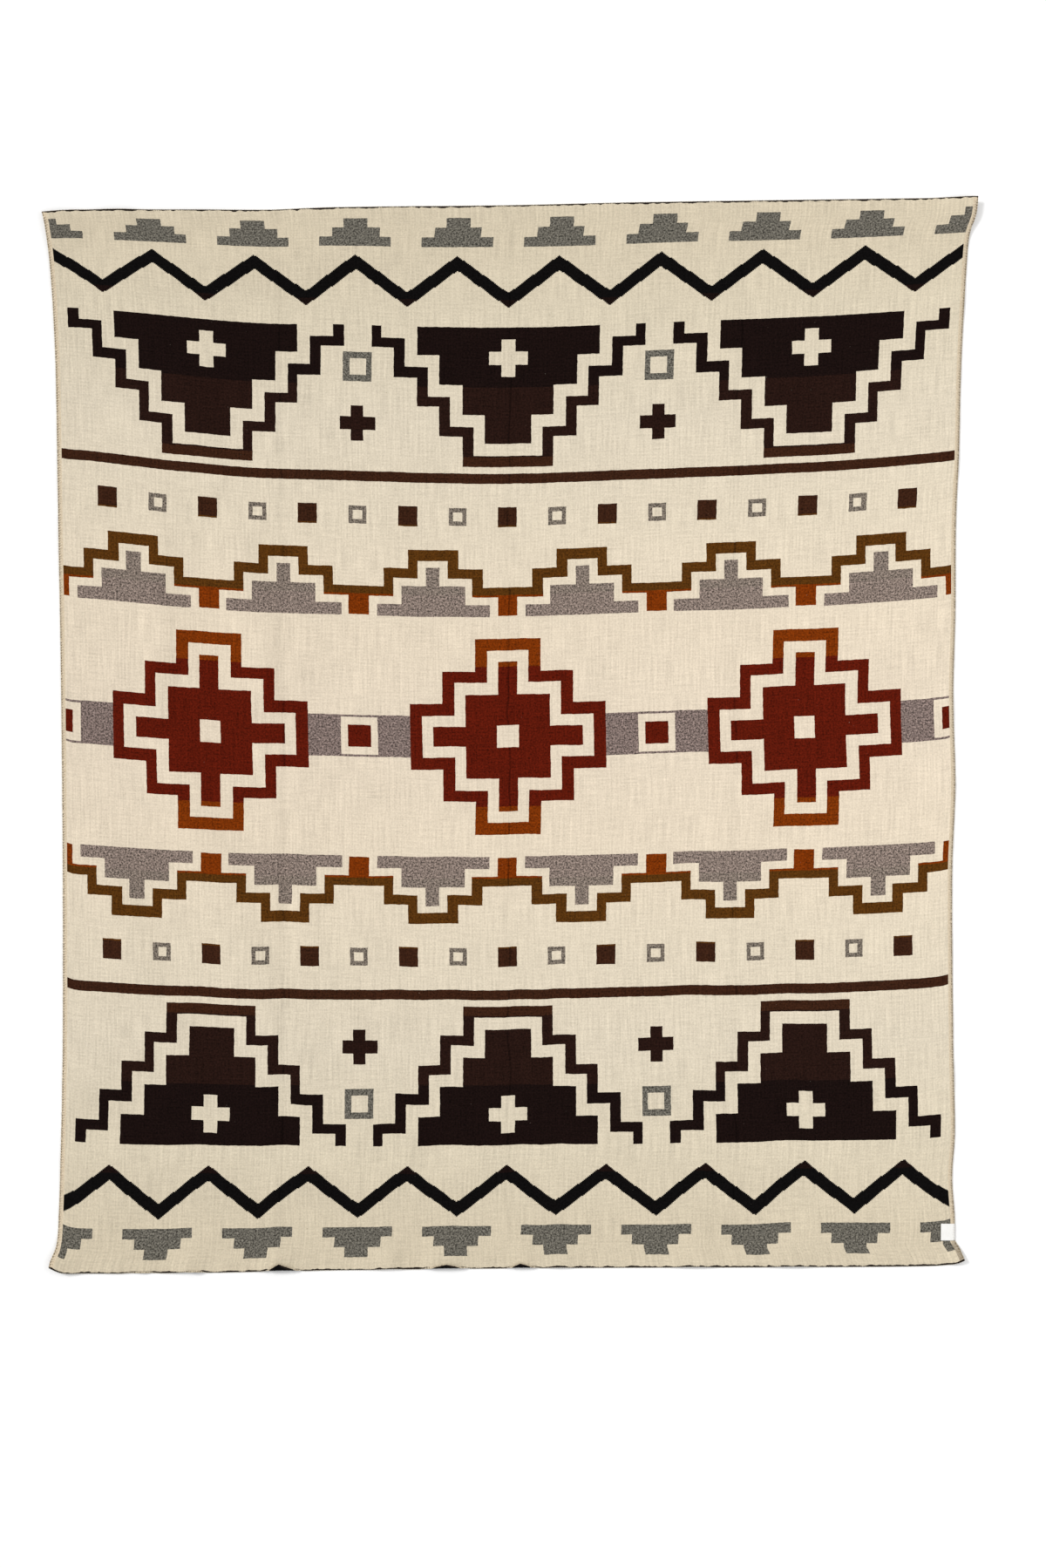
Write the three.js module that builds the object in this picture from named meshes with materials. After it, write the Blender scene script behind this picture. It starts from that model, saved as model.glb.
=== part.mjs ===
// A large alpaca throw, laid out flat with its patterned face up.
// One woven sheet carries soft storage creases, a few rumples and a wavy lower edge, turned over in places.
// A small folded ribbon label, left blank, is sewn on at its right edge near the bottom.
// Units are millimetres. +X is the throw's right, +Y its top, and +Z points up from the surface it lies on.
import * as THREE from "three";

// Sizes of the cloth
const WIDTH = 1706; // across the middle of the throw
const LENGTH = 2030; // from its lower to its upper edge
const THICKNESS = 3; // a soft double cloth with a short raised nap
const LOWER_RISE = 14; // how much further up the lower edge lies at the right than at the left
const UPPER_RISE = 26; // the same for the upper edge

// Sizes of the label: a ribbon folded in two, its fold towards the middle of the throw
const LABEL = { length: 26, width: 32, layer: 0.3, gap: 0.3, along: -962, overhang: 1, lean: 0.6 };
const CLEARANCE = 0.3; // air between the label and the cloth under it

// Sizes of the mesh: even lines, with closer ones at the creases and at the lower and upper edges
const LINE_STEP = 50;
const LEAST_STEP = 27; // room that an even line leaves to the wanted ones
const LEAST_GAP = 1.9; // room between two wanted ones
const LOWER_STEPS = [2.5, 4.5, 6.5, 8.5, 11, 15, 24, 36, 66]; // closest where the hem turns over
const UPPER_STEPS = [12, 24, 66];

// How far each side edge stands out from the width at the middle, going up the throw
const LEFT_EDGE = [
  { along: -1015, out: 28 },
  { along: -1004, out: 26 },
  { along: -975, out: 15 },
  { along: -925, out: 11 },
  { along: -757, out: 6 },
  { along: -589, out: 3 },
  { along: -253, out: 3 },
  { along: 82, out: 6 },
  { along: 330, out: 10 },
  { along: 636, out: 15 },
  { along: 780, out: 19 },
  { along: 921, out: 28 },
  { along: 995, out: 37 },
  { along: 1015, out: 42 },
];
const RIGHT_EDGE = [
  { along: -1015, out: 16 },
  { along: -991, out: 6 },
  { along: -975, out: -3 },
  { along: -940, out: -2 },
  { along: -857, out: -7 },
  { along: -773, out: -2 },
  { along: -607, out: -5 },
  { along: -274, out: -7 },
  { along: -107, out: -1 },
  { along: 60, out: -5 },
  { along: 226, out: -1 },
  { along: 393, out: 0 },
  { along: 527, out: 6 },
  { along: 693, out: 10 },
  { along: 893, out: 21 },
  { along: 950, out: 27 },
  { along: 979, out: 37 },
  { along: 1015, out: 41 },
];

// How far the lower and upper edges bow out from a straight line, going across the throw
const LOWER_EDGE = [
  { across: -853, out: -4 },
  { across: -830, out: 6 },
  { across: -790, out: 8 },
  { across: -590, out: 9 },
  { across: -330, out: 6 },
  { across: 95, out: 5 },
  { across: 520, out: 7 },
  { across: 785, out: 7 },
  { across: 836, out: 3 },
  { across: 853, out: -4 },
];
const UPPER_EDGE = [
  { across: -853, out: -1 },
  { across: -790, out: 3 },
  { across: -580, out: 0 },
  { across: -440, out: -2 },
  { across: -325, out: 1 },
  { across: 0, out: 0 },
  { across: 230, out: 2 },
  { across: 853, out: 2 },
];

// Upright creases left by folding the throw in quarters: a pinched line between two low shoulders
const CREASES = [
  { across: -429, height: 3, reach: 66, from: -920, to: 860, trough: true },
  { across: 2, height: 2, reach: 44, from: -860, to: 930, trough: false },
  { across: 436, height: 2.4, reach: 62, from: -840, to: 820, trough: true },
];
const CREASE_FADE = 160; // the length over which a crease dies out at each end
const SHOULDER = 0.42; // where a trough's shoulders stand, as a share of its reach

// Soft rounded folds, each lying along a run of places on the cloth
const RUMPLES = [
  { through: [[-600, 700], [-575, 470]], height: 4, reach: 62 },
  { through: [[-545, 495], [-480, 405]], height: 2.5, reach: 36 },
  { through: [[-664, 380], [-668, 50]], height: 4, reach: 46 },
  { through: [[-525, 400], [-475, 90]], height: 5, reach: 64 },
  { through: [[-640, -40], [-545, -330], [-455, -560], [-330, -690], [-215, -790]], height: 6, reach: 74 },
  { through: [[-775, -190], [-705, -480], [-600, -640]], height: 4, reach: 66 },
  { through: [[-400, -330], [-345, -470], [-285, -560]], height: 4, reach: 40 },
  { through: [[-300, -350], [-215, -520]], height: 3.5, reach: 48 },
  { through: [[-420, -835], [-240, -850], [-60, -835]], height: 6, reach: 62 },
  { through: [[-800, -800], [-560, -830]], height: 4, reach: 68 },
  { through: [[-700, 900], [-250, 925]], height: 5, reach: 62 },
  { through: [[210, -790], [620, -830]], height: 3, reach: 62 },
  { through: [[640, 620], [690, 120]], height: 2.5, reach: 84 },
  { through: [[640, -180], [600, -560]], height: 2.5, reach: 80 },
];

// Waves where the lower edge curls off the surface
const EDGE_WAVES = [
  { across: -596, height: 5, reach: 52 },
  { across: -429, height: 7, reach: 50 },
  { across: -217, height: 5, reach: 40 },
  { across: -112, height: 6, reach: 56 },
  { across: 26, height: 5, reach: 40 },
  { across: 98, height: 5, reach: 34 },
  { across: 348, height: 6, reach: 56 },
  { across: 532, height: 6, reach: 60 },
];
const WAVE_DEPTH = 82; // how far in from the edge a wave dies out
const WAVE_PULL = 0.35; // how far a wave draws the edge in, as a share of its height

// Stretches of the lower hem that have turned over: how deep the reverse shows, and how far each one tapers
const TURN_UPS = [
  { across: -426, depth: 13, before: 26, after: 46 },
  { across: -112, depth: 8, before: 52, after: 48 },
  { across: 26, depth: 9, before: 28, after: 36 },
];
const TURN_RADIUS = 2.5; // of the bend, at the middle of the cloth's thickness
const TURN_ZONE = 24; // how far in from its edge the cloth takes part in a bend

// Corners and a stretch of the upper edge that stand a little off the surface
const LIFTED_CORNERS = [
  { at: [-853, -1015], height: 10, reach: 70 },
  { at: [853, -1015], height: 8, reach: 34 },
  { at: [-853, 1015], height: 8, reach: 110 },
  { at: [-722, 1015], height: 6, reach: 60 },
  { at: [853, 1015], height: 12, reach: 90 },
];

const CLOTH_COLOR = 0xded4bd;
const LABEL_COLOR = 0xf1f0ec;

/** A rise from 0 at or past `reach` to 1 at 0, level at both ends. */
function hump(distance, reach) {
  const share = Math.min(Math.abs(distance) / reach, 1);
  return (1 - share * share) ** 2;
}

/** 0 below `low`, 1 above `high`, and a smooth climb between them. */
function climb(value, low, high) {
  const share = THREE.MathUtils.clamp((value - low) / (high - low), 0, 1);
  return share * share * (3 - 2 * share);
}

/** The smooth curve through a table's rows, read at one place: cubic pieces, even in slope at each row. */
function curveThrough(rows, column, at) {
  const last = rows.length - 1;
  const slope = (i) => {
    const before = rows[Math.max(i - 1, 0)];
    const after = rows[Math.min(i + 1, last)];
    return (after.out - before.out) / (after[column] - before[column]);
  };
  const next = rows.findIndex((row) => row[column] >= at);
  const end = next < 0 ? last : Math.max(next, 1);
  const a = rows[end - 1];
  const b = rows[end];
  const span = b[column] - a[column];
  const t = THREE.MathUtils.clamp((at - a[column]) / span, 0, 1);
  const bend = t * (1 - t);
  const even = a.out + (b.out - a.out) * t * t * (3 - 2 * t);
  return even + bend * span * (slope(end - 1) * (1 - t) - slope(end) * t);
}

/** How high the waves of the lower edge stand at one place across it. */
function waveHeight(across) {
  let height = 0;
  for (const wave of EDGE_WAVES) height += wave.height * hump(across - wave.across, wave.reach);
  return height;
}

/** How deep the reverse shows at one place across the lower hem; 0 where it lies flat. */
function turnDepth(across) {
  let depth = 0;
  for (const turn of TURN_UPS) {
    const reach = across < turn.across ? turn.before : turn.after;
    depth += turn.depth * hump(across - turn.across, reach);
  }
  return depth;
}

/**
 * The section through the lower hem, which bends up and then over the face by `depth`.
 * For a place `fromEdge` in from the cloth's own edge it gives how far in from the outline that place lies,
 * how much it is raised, and the angle that the cloth has turned there.
 */
function hemSection(fromEdge, depth) {
  const outer = TURN_RADIUS + THICKNESS / 2;
  const fullTurn = Math.PI * Math.min(depth / outer, 1);
  const flatRun = TURN_ZONE - outer * Math.sin(Math.min(fullTurn, Math.PI / 2));
  const bendRun = TURN_RADIUS * fullTurn;
  const backRun = Math.max(depth - outer, 0);
  const run = (flatRun + bendRun + backRun) * (1 - fromEdge / TURN_ZONE);
  const turned = THREE.MathUtils.clamp((run - flatRun) / TURN_RADIUS, 0, fullTurn);
  const past = Math.max(run - flatRun - bendRun, 0);
  return {
    inward: TURN_ZONE - Math.min(run, flatRun) - TURN_RADIUS * Math.sin(turned) - past * Math.cos(turned),
    raised: TURN_RADIUS * (1 - Math.cos(turned)) + past * Math.sin(turned),
    turned,
  };
}

/** Where a place on the cloth lies on the surface, seen from above. */
function plan(across, along) {
  const u = across / WIDTH + 0.5;
  const v = along / LENGTH + 0.5;
  const left = -WIDTH / 2 - curveThrough(LEFT_EDGE, "along", along);
  const right = WIDTH / 2 + curveThrough(RIGHT_EDGE, "along", along);
  const lowerOut = curveThrough(LOWER_EDGE, "across", across) - WAVE_PULL * waveHeight(across);
  const upperOut = curveThrough(UPPER_EDGE, "across", across);
  const lower = -LENGTH / 2 - lowerOut + LOWER_RISE * (u - 0.5);
  const upper = LENGTH / 2 + upperOut + UPPER_RISE * (u - 0.5);
  return new THREE.Vector2(THREE.MathUtils.lerp(left, right, u), THREE.MathUtils.lerp(lower, upper, v));
}

/** How far one crease lifts the cloth. */
function creaseLift(crease, across, along) {
  const ends =
    climb(along, crease.from, crease.from + CREASE_FADE) *
    climb(-along, -crease.to, CREASE_FADE - crease.to);
  const side = Math.abs(across - crease.across);
  if (!crease.trough) return crease.height * ends * hump(side, crease.reach);
  const shoulder = crease.reach * SHOULDER;
  const outer = hump(Math.max(side - shoulder, 0), crease.reach - shoulder);
  return crease.height * ends * outer * climb(side, 0, shoulder);
}

/** How far one rumple lifts the cloth: a rounded fold with tapering ends. */
function rumpleLift({ through, height, reach }, place) {
  let distance = Infinity;
  for (let i = 1; i < through.length; i++) {
    const from = new THREE.Vector2(...through[i - 1]);
    const line = new THREE.Vector2(...through[i]).sub(from);
    const share = THREE.MathUtils.clamp(place.clone().sub(from).dot(line) / line.lengthSq(), 0, 1);
    distance = Math.min(distance, place.distanceTo(from.addScaledVector(line, share)));
  }
  return height * hump(distance, reach);
}

/** How far the cloth's underside stands off the surface; 0 wherever it lies flat. */
function lift(across, along) {
  const place = new THREE.Vector2(across, along);
  let height = 0;
  for (const crease of CREASES) height += creaseLift(crease, across, along);
  for (const rumple of RUMPLES) height += rumpleLift(rumple, place);
  height += waveHeight(across) * hump(along + LENGTH / 2, WAVE_DEPTH);
  for (const corner of LIFTED_CORNERS)
    height += corner.height * hump(place.distanceTo(new THREE.Vector2(...corner.at)), corner.reach);
  return height;
}

/** A point of one side of the cloth: `offset` from the middle of its thickness, up through the face. */
function clothPoint(across, along, offset) {
  const fromEdge = along + LENGTH / 2;
  const flat = { inward: fromEdge, raised: 0, turned: 0 };
  const section = fromEdge < TURN_ZONE ? hemSection(fromEdge, turnDepth(across)) : flat;
  const at = section.inward - LENGTH / 2;
  const { x, y } = plan(across, at);
  const middle = lift(across, at) + THICKNESS / 2 + section.raised;
  return [x, y + offset * Math.sin(section.turned), middle + offset * Math.cos(section.turned)];
}

/** Mesh lines from -half to half: the wanted ones, and even ones that don't crowd them. */
function meshLines(half, wanted) {
  const lines = [-half, half];
  const add = (line, room) => {
    if (lines.every((other) => Math.abs(other - line) > room)) lines.push(line);
  };
  for (const line of wanted) add(line, LEAST_GAP);
  const count = Math.round((2 * half) / LINE_STEP);
  for (let i = 1; i < count; i++) add(-half + (2 * half * i) / count, LEAST_STEP);
  return lines.sort((a, b) => a - b);
}

/** The woven sheet: its face, its underside and the cut edge between them, as one closed skin. */
function clothGeometry() {
  const atCreases = CREASES.flatMap(({ across, reach }) =>
    [-1, -SHOULDER, 0, SHOULDER, 1].map((share) => across + share * reach),
  );
  const atTurns = TURN_UPS.flatMap(({ across, before, after }) =>
    [-before, -before / 2, 0, after / 2, after].map((step) => across + step),
  );
  const atLower = LOWER_STEPS.map((step) => step - LENGTH / 2);
  const atUpper = UPPER_STEPS.map((step) => LENGTH / 2 - step);
  const acrossLines = meshLines(WIDTH / 2, [...atCreases, ...atTurns]);
  const alongLines = meshLines(LENGTH / 2, [...atLower, ...atUpper]);
  const columns = acrossLines.length;
  const rows = alongLines.length;
  const layer = columns * rows;

  const positions = [];
  for (const offset of [-THICKNESS / 2, THICKNESS / 2])
    for (const along of alongLines)
      for (const across of acrossLines) positions.push(...clothPoint(across, along, offset));

  const indices = [];
  const quad = (a, b, c, d) => indices.push(a, b, c, a, c, d);
  for (let row = 0; row < rows - 1; row++)
    for (let column = 0; column < columns - 1; column++) {
      const a = row * columns + column;
      const b = a + 1;
      const c = b + columns;
      const d = a + columns;
      quad(a, d, c, b);
      quad(a + layer, b + layer, c + layer, d + layer);
    }
  const wall = (from, to) => quad(from, to, to + layer, from + layer);
  for (let column = 0; column < columns - 1; column++) {
    const top = (rows - 1) * columns + column;
    wall(column, column + 1);
    wall(top + 1, top);
  }
  for (let row = 0; row < rows - 1; row++) {
    const left = row * columns;
    const right = left + columns - 1;
    wall(left + columns, left);
    wall(right, right + columns);
  }

  const geometry = new THREE.BufferGeometry();
  geometry.setAttribute("position", new THREE.Float32BufferAttribute(positions, 3));
  geometry.setIndex(indices);
  geometry.computeVertexNormals();
  return geometry;
}

/** The folded ribbon: its side view, a U lying down with its bend at -X, drawn along the label's width. */
function labelGeometry() {
  const { length, width, layer, gap } = LABEL;
  const height = 2 * layer + gap;
  const bend = height / 2;
  const side = new THREE.Shape();
  side.moveTo(length, 0);
  side.lineTo(length, layer);
  side.lineTo(bend, layer);
  side.absarc(bend, bend, gap / 2, -Math.PI / 2, Math.PI / 2, true);
  side.lineTo(length, height - layer);
  side.lineTo(length, height);
  side.lineTo(bend, height);
  side.absarc(bend, bend, bend, Math.PI / 2, -Math.PI / 2, false);
  side.closePath();
  const geometry = new THREE.ExtrudeGeometry(side, { depth: width, bevelEnabled: false, curveSegments: 8 });
  geometry.rotateX(Math.PI / 2);
  return geometry.translate(-length, width / 2, 0);
}

/** A named sub-part with its own material. */
function subPart(name, geometry, color, roughness) {
  const material = new THREE.MeshStandardMaterial({ color, roughness, metalness: 0 });
  const mesh = new THREE.Mesh(geometry, material);
  mesh.name = name;
  return mesh;
}

const cloth = subPart("throw", clothGeometry(), CLOTH_COLOR, 0.95);
const label = subPart("label", labelGeometry(), LABEL_COLOR, 0.7);
const labelEnd = plan(WIDTH / 2, LABEL.along);
label.position.set(labelEnd.x + LABEL.overhang, labelEnd.y, THICKNESS + CLEARANCE);
label.rotation.z = -THREE.MathUtils.degToRad(LABEL.lean);

// The origin is at the middle of the throw's outline, on the surface that it lies on
const outline = new THREE.Box3().setFromObject(cloth);
const part = new THREE.Group();
part.add(cloth, label);
part.position.set(-(outline.min.x + outline.max.x) / 2, -(outline.min.y + outline.max.y) / 2, 0);

export default part;
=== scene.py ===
"""Looks of a large alpaca throw that lies flat with its patterned face up.

The cloth's own places and sizes are in millimetres: `across` and `along` it, from its middle.
Meshes and shaders use metres.
"""

import math

import bpy
import numpy as np
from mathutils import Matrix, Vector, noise


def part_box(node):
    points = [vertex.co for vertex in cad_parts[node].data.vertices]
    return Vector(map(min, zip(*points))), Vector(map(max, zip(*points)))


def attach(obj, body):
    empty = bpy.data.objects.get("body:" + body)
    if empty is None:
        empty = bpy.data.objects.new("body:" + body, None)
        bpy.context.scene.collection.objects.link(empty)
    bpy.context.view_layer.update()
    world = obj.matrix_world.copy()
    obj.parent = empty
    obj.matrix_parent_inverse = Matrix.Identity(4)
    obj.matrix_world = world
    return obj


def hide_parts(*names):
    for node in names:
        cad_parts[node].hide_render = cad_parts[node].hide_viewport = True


MM = 0.001

# Sizes of the cloth, as in the model
WIDTH = 1706
LENGTH = 2030
THICKNESS = 3
LOWER_RISE = 14  # how much further up the lower edge lies at the right than at the left
UPPER_RISE = 26

# How far each side edge stands out from the width at the middle: (along, out)
LEFT_EDGE = [
    (-1015, 28), (-1004, 26), (-975, 15), (-925, 11), (-757, 6), (-589, 3), (-253, 3), (82, 6),
    (330, 10), (636, 15), (780, 19), (921, 28), (995, 37), (1015, 42),
]
RIGHT_EDGE = [
    (-1015, 16), (-991, 6), (-975, -3), (-940, -2), (-857, -7), (-773, -2), (-607, -5),
    (-274, -7), (-107, -1), (60, -5), (226, -1), (393, 0), (527, 6), (693, 10), (893, 21),
    (950, 27), (979, 37), (1015, 41),
]

# How far the lower and upper edges bow out from a straight line: (across, out)
LOWER_EDGE = [
    (-853, -4), (-830, 6), (-790, 8), (-590, 9), (-330, 6), (95, 5), (520, 7), (785, 7), (836, 3), (853, -4),
]
UPPER_EDGE = [(-853, -1), (-790, 3), (-580, 0), (-440, -2), (-325, 1), (0, 0), (230, 2), (853, 2)]

# Upright creases: (across, height, reach, from, to, whether it is a trough)
CREASES = [
    (-429, 1.4, 66, -920, 860, True),
    (2, 1, 44, -860, 930, False),
    (436, 0.8, 62, -840, 820, True),
]
CREASE_FADE = 160
SHOULDER = 0.42  # where a trough's shoulders stand, as a share of its reach
PINCH_DEPTH, PINCH_REACH = 0.35, 7  # the sharp line that a crease keeps in the nap

# Soft rounded folds: (the places that each runs through, height, reach)
RUMPLES = [
    ([(-600, 700), (-575, 470)], 5, 62),
    ([(-545, 495), (-480, 405)], 3, 36),
    ([(-664, 380), (-668, 50)], 5.5, 46),
    ([(-525, 400), (-475, 90)], 6.5, 64),
    ([(-640, -40), (-545, -330), (-455, -560), (-330, -690), (-215, -790)], 8, 74),
    ([(-775, -190), (-705, -480), (-600, -640)], 5.5, 66),
    ([(-400, -330), (-345, -470), (-285, -560)], 5, 40),
    ([(-300, -350), (-215, -520)], 4.5, 48),
    ([(-420, -835), (-240, -850), (-60, -835)], 6, 62),
    ([(-800, -800), (-560, -830)], 4, 68),
    ([(-700, 900), (-250, 925)], 5, 62),
    ([(210, -790), (620, -830)], 2, 62),
    ([(640, 620), (690, 120)], 1.5, 84),
    ([(640, -180), (600, -560)], 1.5, 80),
]

# Waves of the lower edge: (across, height, reach)
EDGE_WAVES = [
    (-596, 5, 52), (-429, 7, 50), (-217, 5, 40), (-112, 6, 56),
    (26, 5, 40), (98, 5, 34), (348, 6, 56), (532, 6, 60),
]
WAVE_DEPTH = 82
WAVE_PULL = 0.35

# Stretches of the lower hem that have turned over: (across, depth, reach before, reach after)
TURN_UPS = [(-426, 13, 26, 46), (-112, 8, 52, 48), (26, 9, 28, 36), (-580, 3.4, 34, 20), (-679, 2.6, 44, 34)]
TURN_RADIUS = 2.5
TURN_ZONE = 24
TURN_TAPER = 1.35  # how pointed these stretches are

# Corners and a stretch of the upper edge that stand a little off the surface: (place, height, reach)
LIFTED_CORNERS = [
    ((-853, -1015), 10, 70),
    ((853, -1015), 8, 34),
    ((-853, 1015), 8, 110),
    ((-722, 1015), 6, 60),
    ((853, 1015), 12, 90),
]

# Size and place of the label: a ribbon folded in two
LABEL = {"length": 26, "width": 32, "layer": 0.3, "gap": 0.3, "along": -962, "overhang": 1, "lean": 0.6}

# How much higher the wefts lie at each side than in the middle: (along, at the left, at the right)
SAG = [(-1015, 0, 0), (-700, 22, 12), (0, 40, 24), (700, 60, 30), (960, 30, 14), (1015, 0, 0)]

# The photograph's frame, 1200 by 1799 pixels, at the scale of the cloth's plane
FRAME_HEIGHT = 1799
MM_PER_PIXEL = 1.67
FRAME_CENTRE = (25.2, -93.1)  # where the camera's axis meets that plane
CAMERA_HEIGHT = 4.5
SENSOR = 36


# The form of the cloth


def hump(distance, reach):
    """A rise from 0 at or past `reach` to 1 at 0, level at both ends."""
    share = np.minimum(np.abs(distance) / reach, 1)
    return (1 - share**2) ** 2


def climb(value, low, high):
    """0 below `low`, 1 above `high`, and a smooth climb between them."""
    share = np.clip((value - low) / (high - low), 0, 1)
    return share**2 * (3 - 2 * share)


def curve_through(rows, at):
    """The smooth curve through a table's rows: cubic pieces, even in slope at each row."""
    places, outs = np.array(rows, float).T
    last = len(places) - 1
    index = np.arange(last + 1)
    before = np.maximum(index - 1, 0)
    after = np.minimum(index + 1, last)
    slopes = (outs[after] - outs[before]) / (places[after] - places[before])
    end = np.clip(np.searchsorted(places, at), 1, last)
    start = end - 1
    span = places[end] - places[start]
    t = np.clip((at - places[start]) / span, 0, 1)
    even = outs[start] + (outs[end] - outs[start]) * t**2 * (3 - 2 * t)
    return even + t * (1 - t) * span * (slopes[start] * (1 - t) - slopes[end] * t)


def wander(across, along, wide, long, seed):
    """Smooth noise from -1 to 1, with features of about `wide` by `long` millimetres."""
    places = zip(np.ravel(across) / wide, np.ravel(along) / long)
    values = [noise.noise((x, y, seed)) for x, y in places]
    return np.reshape(values, np.shape(across))


def wave_height(across):
    return sum(height * hump(across - at, reach) for at, height, reach in EDGE_WAVES)


def turn_depth(across):
    """How deep the reverse shows at one place across the lower hem; 0 where it lies flat."""
    depth = 0
    for at, deep, before, after in TURN_UPS:
        share = np.abs(across - at) / np.where(across < at, before, after)
        depth = depth + deep * np.maximum(1 - share, 0) ** TURN_TAPER
    return depth


def hem_section(from_edge, depth):
    """The section through the lower hem, which bends up and then over the face by `depth`.

    For places `from_edge` in from the cloth's own edge: how far in from the outline they lie, how much
    they are raised, and the angle that the cloth has turned there.
    """
    outer = TURN_RADIUS + THICKNESS / 2
    full_turn = math.pi * np.minimum(depth / outer, 1)
    flat_run = TURN_ZONE - outer * np.sin(np.minimum(full_turn, math.pi / 2))
    bend_run = TURN_RADIUS * full_turn
    back_run = np.maximum(depth - outer, 0)
    run = (flat_run + bend_run + back_run) * (1 - from_edge / TURN_ZONE)
    turned = np.clip((run - flat_run) / TURN_RADIUS, 0, full_turn)
    past = np.maximum(run - flat_run - bend_run, 0)
    inward = TURN_ZONE - np.minimum(run, flat_run) - TURN_RADIUS * np.sin(turned) - past * np.cos(turned)
    raised = TURN_RADIUS * (1 - np.cos(turned)) + past * np.sin(turned)
    bent = from_edge < TURN_ZONE
    return np.where(bent, inward, from_edge), np.where(bent, raised, 0), np.where(bent, turned, 0)


def plan(across, along):
    """Where a place on the cloth lies on the surface, seen from above."""
    u = across / WIDTH + 0.5
    v = along / LENGTH + 0.5
    left = -WIDTH / 2 - curve_through(LEFT_EDGE, along)
    right = WIDTH / 2 + curve_through(RIGHT_EDGE, along)
    lower = -LENGTH / 2 - curve_through(LOWER_EDGE, across) + WAVE_PULL * wave_height(across)
    upper = LENGTH / 2 + curve_through(UPPER_EDGE, across)
    lower = lower + LOWER_RISE * (u - 0.5)
    upper = upper + UPPER_RISE * (u - 0.5)
    return left + (right - left) * u, lower + (upper - lower) * v


def crease_ends(start, end, along):
    """1 along a crease, with a smooth fall to 0 at both of its ends."""
    return climb(along, start, start + CREASE_FADE) * climb(-along, -end, CREASE_FADE - end)


def crease_lift(crease, across, along):
    at, height, reach, start, end, trough = crease
    ends = crease_ends(start, end, along)
    side = np.abs(across - at)
    if not trough:
        return height * ends * hump(side, reach)
    shoulder = reach * SHOULDER
    outer = hump(np.maximum(side - shoulder, 0), reach - shoulder)
    return height * ends * outer * climb(side, 0, shoulder)


def rumple_lift(rumple, across, along):
    places, height, reach = rumple
    distance = np.inf
    for (x0, y0), (x1, y1) in zip(places, places[1:]):
        dx, dy = x1 - x0, y1 - y0
        share = np.clip(((across - x0) * dx + (along - y0) * dy) / (dx**2 + dy**2), 0, 1)
        distance = np.minimum(distance, np.hypot(across - x0 - share * dx, along - y0 - share * dy))
    return height * hump(distance, reach)


def lift(across, along):
    """How far the cloth's underside stands off the surface; 0 wherever it lies flat."""
    height = wave_height(across) * hump(along + LENGTH / 2, WAVE_DEPTH)
    for crease in CREASES:
        height = height + crease_lift(crease, across, along)
    for rumple in RUMPLES:
        height = height + rumple_lift(rumple, across, along)
    for (x, y), high, reach in LIFTED_CORNERS:
        height = height + high * hump(np.hypot(across - x, along - y), reach)
    return height


SWELL_HEIGHT, CRUMPLE_HEIGHT, RIPPLE_HEIGHT = 3.6, 2.6, 2.4
RIPPLE_REACH = 70
CALM, CALM_FROM, CALM_TO = 0.85, -250, 150  # how much smoother the right half is, and where that begins
NAP_HEIGHT = 0.12


def small_lift(across, along):
    """Smaller unevenness than the model's: swells and crumpling, mostly at the left, and rippling sides."""
    rough = 1 - CALM * climb(across, CALM_FROM, CALM_TO)
    swell = SWELL_HEIGHT * rough * np.maximum(wander(across, along, 170, 300, 1.5), 0)
    crumple = CRUMPLE_HEIGHT * rough * np.maximum(wander(across, along, 64, 92, 7.3), 0)
    side = hump(WIDTH / 2 - np.abs(across), RIPPLE_REACH)
    ripple = RIPPLE_HEIGHT * side * np.maximum(wander(across * 0, along, 1, 78, 3.1), 0)
    return swell + crumple + ripple


def nap_relief(across, along):
    """What the face alone does: the pinched line in each crease, and a slightly uneven nap."""
    relief = NAP_HEIGHT * wander(across, along, 21, 27, 4.4)
    for at, _, _, start, end, _ in CREASES:
        uneven = 1 + 0.5 * wander(across * 0, along, 1, 60, at * 0.01)
        pinch = PINCH_DEPTH * crease_ends(start, end, along) * uneven * hump(across - at, PINCH_REACH)
        relief = relief - pinch
    return relief


def surface(across, along, offset):
    """Points of one side of the cloth, `offset` from the middle of its thickness, up through the face."""
    across, along = np.broadcast_arrays(np.asarray(across, float), np.asarray(along, float))
    inward, raised, turned = hem_section(along + LENGTH / 2, turn_depth(across))
    at = inward - LENGTH / 2
    x, y = plan(across, at)
    middle = lift(across, at) + small_lift(across, at) + THICKNESS / 2 + raised
    if offset > 0:
        offset = offset + nap_relief(across, at)
    return np.stack([x, y + offset * np.sin(turned), middle + offset * np.cos(turned)], axis=-1)


# Making meshes

CLEARANCE = 0.45  # how near an even mesh line may come to a wanted one, as a share of their step
TUBE_END = 0.55  # how thick a tube's ends are, as a share of the rest


def add_piece(name, points, faces, materials, face_materials=None):
    """A mesh object on the frame's body, from points in millimetres."""
    mesh = bpy.data.meshes.new(name)
    mesh.from_pydata(np.asarray(points).reshape(-1, 3) * MM, [], [list(face) for face in faces])
    for material in materials:
        mesh.materials.append(material)
    if face_materials is not None:
        mesh.polygons.foreach_set("material_index", np.asarray(face_materials, np.int32))
    mesh.shade_smooth()
    piece = bpy.data.objects.new(name, mesh)
    bpy.context.scene.collection.objects.link(piece)
    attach(piece, "root")
    return piece


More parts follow.
